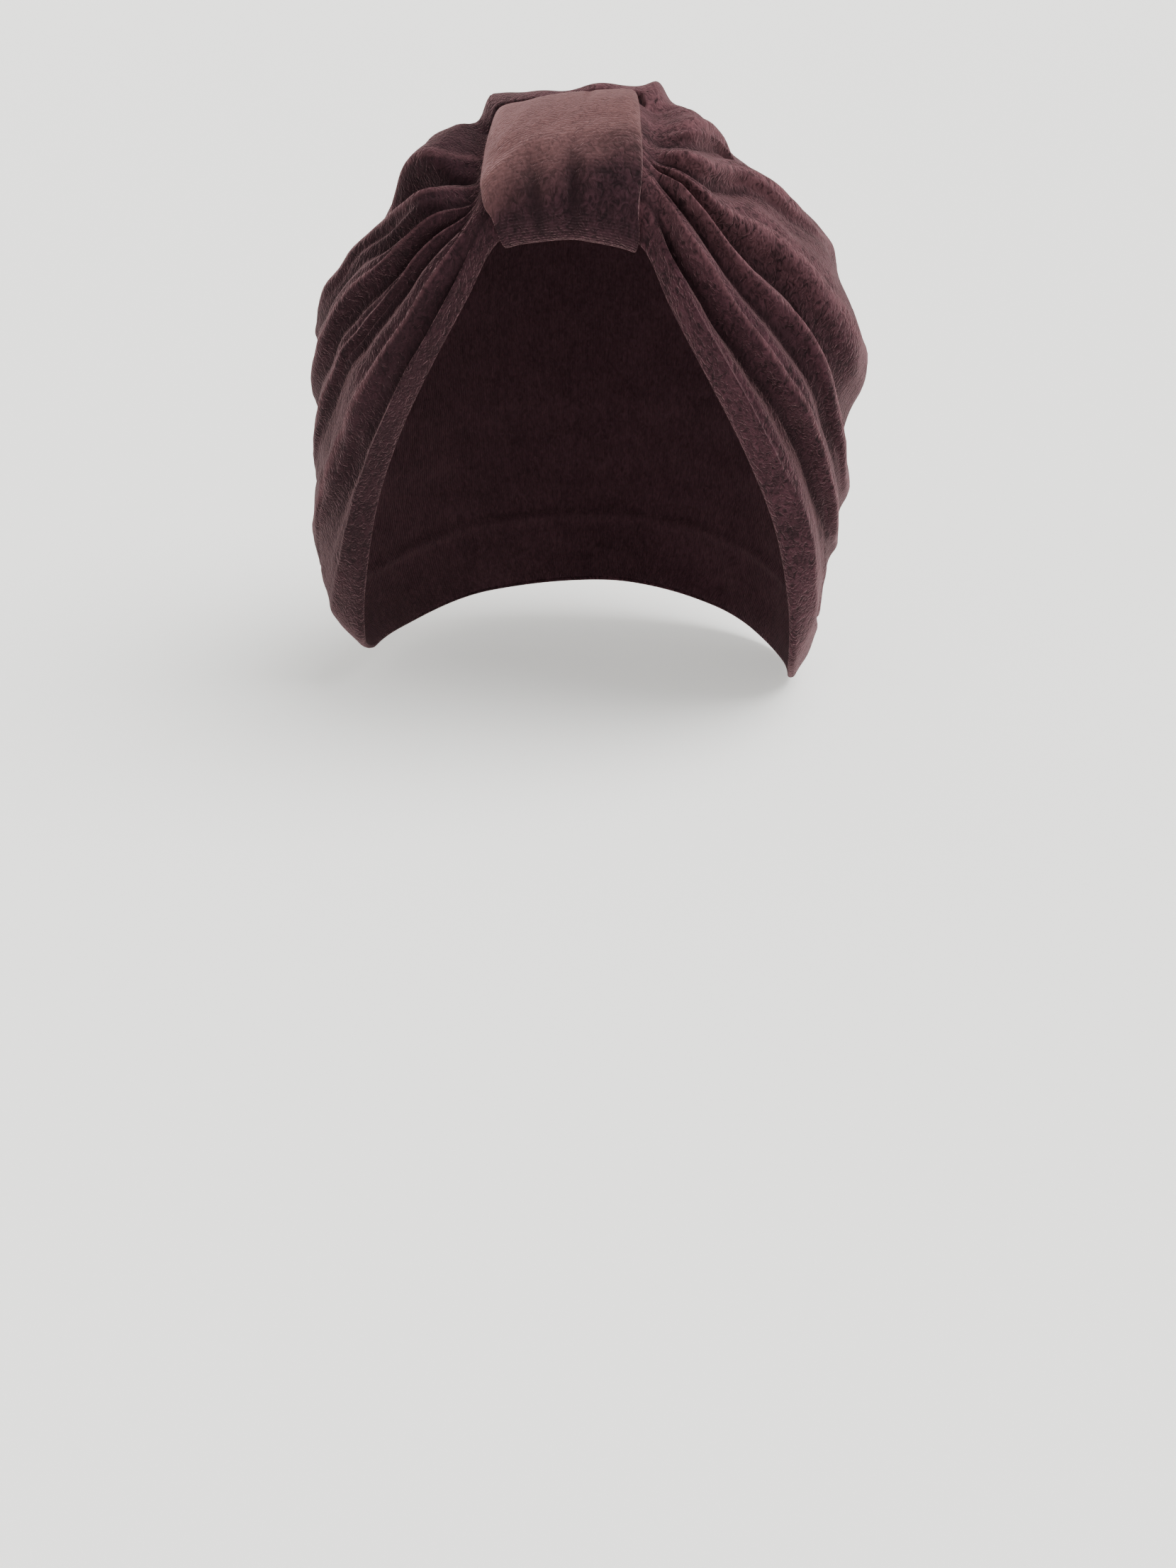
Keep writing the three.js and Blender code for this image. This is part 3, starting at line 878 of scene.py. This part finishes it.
@dataclass
class FrontLoop:
    """The velvet loop: a flat sewn tube round the front edge and through the slit."""

    drape: Drape
    crown_cloth: float = 2.4
    cloth: float = 2.6
    clearance: float = 1.3
    rim_slack: float = 0.3
    # Share of the way up the front, and the half width there
    widths: tuple[Pair, ...] = ((0.0, 20.6), (0.2, 22.6), (0.45, 23.0), (0.75, 22.4), (1.0, 21.2))
    soften: int = 8
    steps: int = 96
    bend_steps: int = 10
    across: int = 72
    edge_turns: int = 6
    puff: float = 0.9
    puff_sink: float = 0.6
    # Sideways place, depth and width of each gather
    pleats: tuple[Triple, ...] = (
        (-0.40, 2.0, 0.11),
        (0.10, 2.2, 0.10),
        (0.52, 0.6, 0.12),
        (0.86, 0.6, 0.08),
        (-0.72, 0.5, 0.11),
    )
    pleat_reach: float = 0.28
    furrow_fade: float = 0.7
    # How far the furrows sway, and how often
    furrow_sway: Pair = (0.05, 5.0)
    # Depth of gather that gives the fullest painted shade in the furrows
    furrow_shade: float = 1.6
    # Sideways place, share of the way up, depth and width
    pucker: tuple[float, float, float, float] = (0.34, 0.9, 1.3, 0.05)
    pucker_height: float = 1.3
    uneven: float = 0.4
    spot_size: Pair = (23.0, 50.0)
    probe: float = 0.1

    def _section(self) -> Array:
        """Draw the band's cross-section.

        Returns:
            Rows of sideways place, from -1 to 1, and depth through the wall.
        """
        half = self.cloth / 2
        edge = half / self.widths[0][1]
        flat = np.linspace(-1 + edge, 1 - edge, self.across)
        turn = math.pi * np.arange(1, self.edge_turns) / self.edge_turns
        right = np.stack([1 - edge + edge * np.sin(turn), half * np.cos(turn)], axis=1)
        left = np.stack([-1 + edge - edge * np.sin(turn), -half * np.cos(turn)], axis=1)
        top = np.stack([flat, np.full_like(flat, half)], axis=1)
        under = np.stack([flat[::-1], np.full_like(flat, -half)], axis=1)
        return np.concatenate([top, right, under, left])

    def _path(self) -> Array:
        """Lay out the band's way round the gathered cloth.

        It starts halfway down the inside, where the ends are sewn together.

        Returns:
            Rows of crown row, stand off the cloth and reach past the cloth's end.
        """
        rows = np.linspace(0.0, SLIT_LINE, self.steps)
        turn = math.pi * np.arange(1, self.bend_steps + 1) / (self.bend_steps + 1)
        over = np.stack([rows, np.ones_like(rows), np.zeros_like(rows)], axis=1)
        through = np.stack([np.full_like(turn, SLIT_LINE), np.cos(turn), np.sin(turn)], axis=1)
        inside = over[::-1] * [1, -1, 1]
        under = np.stack([np.zeros_like(turn), -np.cos(turn), -np.sin(turn)], axis=1)
        ring = np.concatenate([over, through, inside, under])
        return np.roll(ring, self.steps // 2 + len(turn), axis=0)

    def build(self) -> bpy.types.Object:
        """Build the loop's mesh.

        Returns:
            The loop as a closed band.
        """
        section, path = self._section(), self._path()
        ns, npath = len(section), len(path)
        aside, depth = np.tile(section[:, 0], npath), np.tile(section[:, 1], npath)
        row, stand, past = (np.repeat(path[:, i], ns) for i in range(3))
        share = self.drape.along(np.zeros_like(row), row) / FOLDS[SLIT_LINE - 1].loop
        outside = np.clip(stand, 0.0, 1.0) * (depth > 0)
        depth = depth + outside * self._relief(aside, share)
        reach = self.crown_cloth / 2 + self.clearance + self.cloth / 2 + depth
        half = TableCurve(*zip(*self.widths))(share)
        azimuth = self.drape.azimuth_aside(self.drape.middle(row) + aside * half, row)
        points = self.drape.surface(azimuth, row, reach * stand - self.crown_cloth / 2, plain=True)
        low = np.where(row > 0, row - self.probe, 0.0)
        start, end = (self.drape.surface(azimuth, low + step, plain=True) for step in (0.0, self.probe))
        onward = end - start
        onward /= np.linalg.norm(onward, axis=1, keepdims=True)
        slack = np.where(row > 0, 0.0, self.rim_slack)
        points = points + onward * ((reach + slack) * past)[:, None]
        for _ in range(self.soften):
            runs = points.reshape(npath, ns, 3)
            points = ((np.roll(runs, 1, axis=0) + np.roll(runs, -1, axis=0)) / 4 + runs / 2).reshape(-1, 3)
        travel = np.cumsum(np.linalg.norm(np.diff(points[::ns], axis=0, prepend=points[:1]), axis=1))
        travel -= travel[self.steps // 2 + self.bend_steps]
        uvs = np.stack([aside * half, np.repeat(travel, ns)], axis=1)
        faces = [
            [s * ns + i, s * ns + (i + 1) % ns, (s + 1) % npath * ns + (i + 1) % ns, (s + 1) % npath * ns + i]
            for s in range(npath)
            for i in range(ns)
        ]
        # Painted shade in the gathers' furrows, on the band's outer face
        furrow_shade_mark = np.clip(self._furrows(aside, share) * outside / self.furrow_shade, 0.0, 1.0)
        return mesh_object("velvet_loop", points, faces, uvs, {PAINTED_FOLD_SHADE: furrow_shade_mark})

    def _furrows(self, aside: Array, share: Array) -> Array:
        """Give the depth of the gathers at the band's foot."""
        total = np.zeros_like(aside)
        sway, turns = self.furrow_sway
        for at, depth, width in self.pleats:
            fade = 1 - smoothstep(share, 0.0, self.pleat_reach * (self.furrow_fade + depth / 2))
            bend = at + sway * np.sin(turns * share)
            total = total + depth * fade * bell(aside, bend, width)
        return total

    def _relief(self, aside: Array, share: Array) -> Array:
        """Shape the band's face: a soft puff, the gathers at its foot and small unevenness.

        Args:
            aside: Sideways place on the band, from -1 to 1.
            share: Place along the band, from 0 at the rim to 1 at the slit.

        Returns:
            The height to add at each place.
        """
        height = self.puff * (1 - aside**2) - self.puff * self.puff_sink - self._furrows(aside, share)
        side, up, deep, width = self.pucker
        near = ((aside - side) / width) ** 2 + ((share - up) / (self.pucker_height * width)) ** 2
        height = height - deep * np.exp(-near)
        wide, tall = self.spot_size
        spots = np.stack([aside * wide, share * tall, np.zeros_like(aside)], axis=1)
        return height + self.uneven * Crumple(seed=21, wavelength=13.0).at(spots)


class Signal:
    """A node's output, with the operators that add Math nodes."""

    def __init__(self, book: "NodeBook", socket: bpy.types.NodeSocket) -> None:
        """Keep the tree's book and the output socket."""
        self.book = book
        self.socket = socket

    def _math(self, operation: str, a: Any, b: Any) -> "Signal":
        """Add a Math node on two values."""
        return self.book.node("ShaderNodeMath", {"operation": operation}, {0: a, 1: b})

    def __add__(self, other: Any) -> "Signal":
        """Add."""
        return self._math("ADD", self, other)

    __radd__ = __add__

    def __mul__(self, other: Any) -> "Signal":
        """Multiply."""
        return self._math("MULTIPLY", self, other)

    __rmul__ = __mul__

    def __sub__(self, other: Any) -> "Signal":
        """Subtract."""
        return self._math("SUBTRACT", self, other)

    def __rsub__(self, other: Any) -> "Signal":
        """Subtract from a number."""
        return self._math("SUBTRACT", other, self)


class NodeBook:
    """A material's node tree, filled by one method."""

    def __init__(self, name: str) -> None:
        """Start a material with a Principled shader.

        Args:
            name: The material's name.
        """
        self.material = bpy.data.materials.new(name)
        self.material.use_nodes = True
        self.tree = self.material.node_tree
        self.shader = next(n for n in self.tree.nodes if n.type == "BSDF_PRINCIPLED")

    def node(self, kind: str, settings: dict[str, Any], inputs: dict[Any, Any], output: Any = 0) -> Signal:
        """Add a node.

        Args:
            kind: The node's type.
            settings: Properties, set first.
            inputs: Values or signals by socket name or number.
            output: The output to hand back.

        Returns:
            The chosen output.
        """
        made = self.tree.nodes.new(kind)
        for key, value in settings.items():
            setattr(made, key, value)
        for key, value in inputs.items():
            self.feed(made.inputs[key], value)
        return Signal(self, made.outputs[output])

    def feed(self, socket: bpy.types.NodeSocket, value: Any) -> None:
        """Link a signal to a socket, or set the socket's own value."""
        if isinstance(value, Signal):
            self.tree.links.new(value.socket, socket)
        else:
            socket.default_value = value

    def dress(self, values: dict[str, Any]) -> None:
        """Feed the shader's sockets by name."""
        for key, value in values.items():
            self.feed(self.shader.inputs[key], value)

    def mix(self, share: Signal, low: Any, high: Any) -> Signal:
        """Blend two colours by a share."""
        return self.node("ShaderNodeMix", {"data_type": "RGBA"}, {0: share, 6: low, 7: high}, output=2)


Colour = tuple[float, float, float, float]
WAVE_PITCH = 0.314


@dataclass(frozen=True)
class Velvet:
    """A crushed velvet finish: a short pile that lies in small flecks, with painted shade and painted light
    in its colour.
    """

    name: str
    # The darkest fleck colour, which is also the colour of the painted shade
    dark_fleck_and_shade: Colour
    nap: Colour
    sheen_tint: Colour
    sheen: float
    sheen_roughness: float
    pile_depth: float
    rows_depth: float = 0.0
    # Painted light: the band gets lighter further up, lit on top and in shade at its foot
    painted_rise_light: Union[Colour, None] = None
    painted_rise_light_between: Pair = (6.0, 30.0)
    fleck: float = 1.75
    fall: float = 0.55
    row_pitch: float = 1.1
    rows: Rows = Rows.ACROSS
    # How far the painted shade in the creases and furrows darkens the colour
    fold_shade: float = 0.75
    # Painted shade on the left side, which faces away from the light
    left_shade: float = 0.0
    # Colour of the painted light on the upper right and of the painted highlight along the crests
    painted_top_and_crest_light: Union[Colour, None] = None
    # Range of the painted shade on the left, in object X from right to left
    left_shade_between: Pair = (12.0, -45.0)
    # Tilt and range of the painted light on the upper right
    top_light_slope: float = 0.6
    top_light_between: Pair = (-20.0, 16.0)
    # Painted light on the top: how much a fleck's tone adds, and what every fleck gets
    top_light_share: Pair = (0.8, 0.1)
    # Painted highlight on the crests: how much a fleck's tone adds, and what every fleck gets
    crest_light_share: Pair = (0.3, 0.2)
    # Slant and wander of the edge of the painted light on the band
    painted_rise_light_slope: float = 0.25
    painted_rise_light_wander: float = 8.0
    crush_scale: float = 30.0
    patch_scale: float = 110.0
    pile_scale: float = 1400.0
    fleck_swirl: float = 1.6
    row_sway: float = 1.6
    # Weights of the crush, the patches and the flecks
    tone_mix: Triple = (0.2, 0.15, 0.65)
    tone_between: Pair = (0.375, 0.635)
    # Weights of the flecks, the pile and the patches
    relief_mix: Triple = (0.65, 0.2, 0.4)
    roughness: Pair = (0.78, 0.2)
    specular: float = 0.1

    def make(self) -> bpy.types.Material:
        """Build the material.

        Returns:
            The material, with its varying values on the sockets that bake.
        """
        book = NodeBook(self.name)
        places = book.node("ShaderNodeTexCoord", {}, {}, "Object")
        combed = book.node("ShaderNodeMapping", {}, {"Vector": places, "Scale": (1.0, 1.0, self.fall)})
        cloth = book.node("ShaderNodeUVMap", {"uv_map": "cloth"}, {})
        crush = self._noise(book, places, self.crush_scale, 3.0)
        patches = self._noise(book, places, self.patch_scale, 2.0)
        flecks = self._noise(book, combed, 1.0 / (self.fleck * MM), 2.0, self.fleck_swirl)
        pile = self._noise(book, places, self.pile_scale, 2.0)
        # Mark of the painted shade in the creases and furrows
        folded = book.node("ShaderNodeAttribute", {"attribute_name": PAINTED_FOLD_SHADE}, {}, "Fac")
        bands = {"wave_type": "BANDS", "bands_direction": self.rows.value}
        waves = {"Vector": cloth, "Scale": WAVE_PITCH / (self.row_pitch * MM)}
        waves |= {"Distortion": self.row_sway, "Detail": 2.0}
        knit = book.node("ShaderNodeTexWave", bands, waves, "Fac")
        by_crush, by_patch, by_fleck = self.tone_mix
        mixed = crush * by_crush + patches * by_patch + flecks * by_fleck
        tone = self._stretch(book, mixed, *self.tone_between)
        colour = book.mix(tone, self.dark_fleck_and_shade, self.nap)
        # Painted light, lighter further up the band with a slanted edge
        if self.painted_rise_light is not None:
            low, high = (limit * MM for limit in self.painted_rise_light_between)
            up = book.node("ShaderNodeSeparateXYZ", {}, {"Vector": cloth}, "Y")
            across = book.node("ShaderNodeSeparateXYZ", {}, {"Vector": cloth}, "X")
            edge = up - across * self.painted_rise_light_slope + (patches - 0.5) * (self.painted_rise_light_wander * MM)
            limits = {"Value": edge, "From Min": low, "From Max": high}
            share = book.node("ShaderNodeMapRange", {"interpolation_type": "SMOOTHSTEP"}, limits)
            colour = book.mix(share * (tone * 0.5 + 0.5), colour, self.painted_rise_light)
        colour = self._paint_light(book, places, colour, tone)
        # Painted shade in the creases and furrows
        colour = book.mix(folded * self.fold_shade, colour, self.dark_fleck_and_shade)
        least, more = self.roughness
        by_fleck, by_pile, by_patch = self.relief_mix
        relief = flecks * by_fleck + pile * by_pile + patches * by_patch + knit * self.rows_depth
        sockets = {"Strength": 1.0, "Distance": self.pile_depth * MM, "Height": relief}
        book.dress(
            {
                "Base Color": colour,
                "Roughness": pile * more + least,
                "Normal": book.node("ShaderNodeBump", {}, sockets, "Normal"),
                "Sheen Weight": self.sheen,
                "Sheen Roughness": self.sheen_roughness,
                "Sheen Tint": self.sheen_tint,
                "Specular IOR Level": self.specular,
            }
        )
        return book.material

    def _paint_light(self, book: NodeBook, places: Signal, colour: Signal, tone: Signal) -> Signal:
        """Paint shade on the left, which faces away from the light, and paint light on the upper right and
        along the crests.

        Args:
            book: The material's nodes.
            places: The object's own coordinates.
            colour: The pile's colour so far.
            tone: The flecks' tone, which sets how much painted light each fleck gets.

        Returns:
            The colour with the painted shade and painted light.
        """
        across, up = (book.node("ShaderNodeSeparateXYZ", {}, {"Vector": places}, axis) for axis in "XZ")
        # Painted shade on the left
        away = self._stretch(book, across, *(limit * MM for limit in self.left_shade_between))
        colour = book.mix(away * self.left_shade, colour, self.dark_fleck_and_shade)
        if self.painted_top_and_crest_light is None:
            return colour
        # Painted light on the upper right, and a painted highlight along the crests
        limits = (limit * MM for limit in self.top_light_between)
        top_light = self._stretch(book, across * self.top_light_slope + up, *limits)
        crests = book.node("ShaderNodeAttribute", {"attribute_name": PAINTED_CREST_LIGHT}, {}, "Fac")
        (top, top_least), (crest, crest_least) = self.top_light_share, self.crest_light_share
        share = top_light * (tone * top + top_least) + crests * (tone * crest + crest_least)
        return book.mix(share, colour, self.painted_top_and_crest_light)

    @staticmethod
    def _noise(
        book: NodeBook, places: Signal, scale: float, detail: float, distortion: float = 0.0
    ) -> Signal:
        """Add a noise of a given scale per unit."""
        sockets = {"Vector": places, "Scale": scale, "Detail": detail, "Distortion": distortion}
        return book.node("ShaderNodeTexNoise", {}, sockets, "Fac")

    @staticmethod
    def _stretch(book: NodeBook, value: Signal, low: float, high: float) -> Signal:
        """Spread a range of values over 0 to 1."""
        sockets = {"Value": value, "From Min": low, "From Max": high}
        return book.node("ShaderNodeMapRange", {"clamp": True}, sockets)


AUBERGINE = Velvet(
    name="aubergine_velvet",
    dark_fleck_and_shade=(0.0088, 0.0034, 0.0048, 1.0),
    nap=(0.046, 0.0172, 0.0234, 1.0),
    sheen_tint=(0.70, 0.40, 0.42, 1.0),
    sheen=0.36,
    sheen_roughness=0.36,
    pile_depth=1.15,
    left_shade=0.55,
    painted_top_and_crest_light=(0.112, 0.049, 0.056, 1.0),
)
LOOP_VELVET = Velvet(
    name="loop_velvet",
    dark_fleck_and_shade=(0.007, 0.0027, 0.004, 1.0),
    nap=(0.034, 0.0132, 0.0182, 1.0),
    sheen_tint=(0.72, 0.42, 0.43, 1.0),
    sheen=0.44,
    sheen_roughness=0.38,
    pile_depth=0.75,
    rows_depth=0.1,
    rows=Rows.ALONG,
    painted_rise_light=(0.128, 0.061, 0.060, 1.0),
    painted_rise_light_between=(4.0, 24.0),
)
BACKING = Velvet(
    name="knit_backing",
    dark_fleck_and_shade=(0.030, 0.013, 0.017, 1.0),
    nap=(0.052, 0.023, 0.029, 1.0),
    sheen_tint=(0.66, 0.42, 0.44, 1.0),
    sheen=0.1,
    sheen_roughness=0.5,
    pile_depth=0.4,
    rows_depth=0.5,
)


@dataclass
class Turban:
    """The whole cap: its crown and its loop, dressed and attached to the frame's body."""

    drape: Drape
    crown_flat: Pair = (0.56, 0.30)
    crown_area: float = 0.105
    loop_flat: Pair = (0.048, 0.14)

    def build(self) -> list[bpy.types.Object]:
        """Build and dress the pieces.

        Returns:
            The pieces, in the order they were made.
        """
        crown = Crown(self.drape).build()
        self._dress(crown, "crown", "crown_velvet", [AUBERGINE.make(), BACKING.make()])
        loop = FrontLoop(self.drape).build()
        self._dress(loop, "front_loop", "loop_velvet", [LOOP_VELVET.make()])
        return [crown, loop]

    @staticmethod
    def _dress(piece: bpy.types.Object, node: str, slot: str, materials: list[bpy.types.Material]) -> None:
        """Give a piece its materials and put it in its node's place."""
        for material in materials:
            piece.data.materials.append(material)
        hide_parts(node)
        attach(piece, BODY)


@dataclass
class Studio:
    """The pale floor, the soft lights and the camera."""

    floor_gap: float = 1.2
    # Reach and height in metres, from the flat floor to the top of the far wall
    floor_profile: tuple[Pair, ...] = (
        (4.0, 0.0), (9.0, 0.0), (10.4, 0.18), (11.4, 0.75), (11.9, 1.7), (12.0, 3.0), (12.0, 4.5),
    )
    floor_sides: int = 64
    floor_glow: float = 0.55
    floor_colour: Colour = (0.9, 0.895, 0.87, 1.0)
    floor_light: Colour = (1.0, 0.99, 0.96, 1.0)
    floor_roughness: float = 0.9
    sun_strength: float = 4.6
    sun_breadth: float = 55.0
    sun_turn: Triple = (4.0, 28.0, 0.0)
    sky_strength: float = 0.48
    sky_colour: Colour = (0.92, 0.92, 0.90, 1.0)
    camera_distance: float = 700.0
    camera_height: float = 65.0
    camera_azimuth: float = 5.0
    camera_pitch: float = 23.0
    focal_pixels: float = 3000.0
    sensor: float = 36.0
    clip_end: float = 50.0

    def build(self) -> None:
        """Set the floor, the sky, the lights and the camera."""
        self._floor()
        self._sky()
        self._sun()
        self._camera()

    def _floor(self) -> None:
        """Lay the floor just under the cap, swept up to a low wall far away."""
        low = CAD_BOX[0][2] - self.floor_gap * MM
        count = self.floor_sides
        turns = 2.0 * math.pi * np.arange(count) / count
        corners = [(0.0, 0.0, low)]
        for reach, height in self.floor_profile:
            corners += [(reach * math.cos(t), reach * math.sin(t), low + height) for t in turns]
        faces = [(0, 1 + i, 1 + (i + 1) % count) for i in range(count)]
        for ring in range(len(self.floor_profile) - 1):
            inner, outer = 1 + ring * count, 1 + (ring + 1) * count
            for i in range(count):
                k = (i + 1) % count
                faces.append((inner + i, outer + i, outer + k, inner + k))
        mesh = bpy.data.meshes.new("floor")
        mesh.from_pydata(corners, [], faces)
        mesh.polygons.foreach_set("use_smooth", np.ones(len(mesh.polygons), dtype=bool))
        floor = link_object("floor", mesh)
        book = NodeBook("pale_floor")
        book.dress({"Base Color": self.floor_colour, "Roughness": self.floor_roughness})
        book.dress({"Emission Color": self.floor_light, "Emission Strength": self.floor_glow})
        floor.data.materials.append(book.material)

    def _sky(self) -> None:
        """Fill the surroundings with pale even light."""
        world = bpy.data.worlds.new("pale_room")
        world.use_nodes = True
        background = world.node_tree.nodes["Background"]
        background.inputs["Color"].default_value = self.sky_colour
        background.inputs["Strength"].default_value = self.sky_strength
        bpy.context.scene.world = world

    def _sun(self) -> None:
        """Hang one broad soft light high over the cap."""
        data = bpy.data.lights.new("soft_daylight", "SUN")
        data.energy, data.angle = self.sun_strength, math.radians(self.sun_breadth)
        light = link_object("soft_daylight", data)
        light.rotation_euler = tuple(math.radians(angle) for angle in self.sun_turn)

    def _camera(self) -> None:
        """Stand the camera where the photograph was taken."""
        data = bpy.data.cameras.new("photo_camera")
        data.sensor_width = self.sensor
        data.lens = self.focal_pixels / max(PHOTO_SIZE) * self.sensor
        data.clip_end = self.clip_end
        camera = link_object("photo_camera", data)
        turn = math.radians(self.camera_azimuth)
        reach = self.camera_distance * MM
        camera.location = (reach * math.sin(turn), -reach * math.cos(turn), self.camera_height * MM)
        camera.rotation_euler = (math.radians(90.0 - self.camera_pitch), 0.0, turn)
        bpy.context.scene.camera = camera


def plain(box: Sequence[Sequence[float]]) -> list[list[float]]:
    """Turn a box's corners into plain lists."""
    return [[float(value) for value in corner] for corner in box]


def main() -> None:
    """Build the cap and its studio, and log each piece's face count."""
    logging.basicConfig(level=logging.INFO, format="%(name)s: %(message)s")
    for piece in Turban(Drape(HeadForm())).build():
        LOG.info("%s: %d faces", piece.name, len(piece.data.polygons))
    Studio().build()
    bpy.context.view_layer.update()


if __name__ == "__main__":
    main()
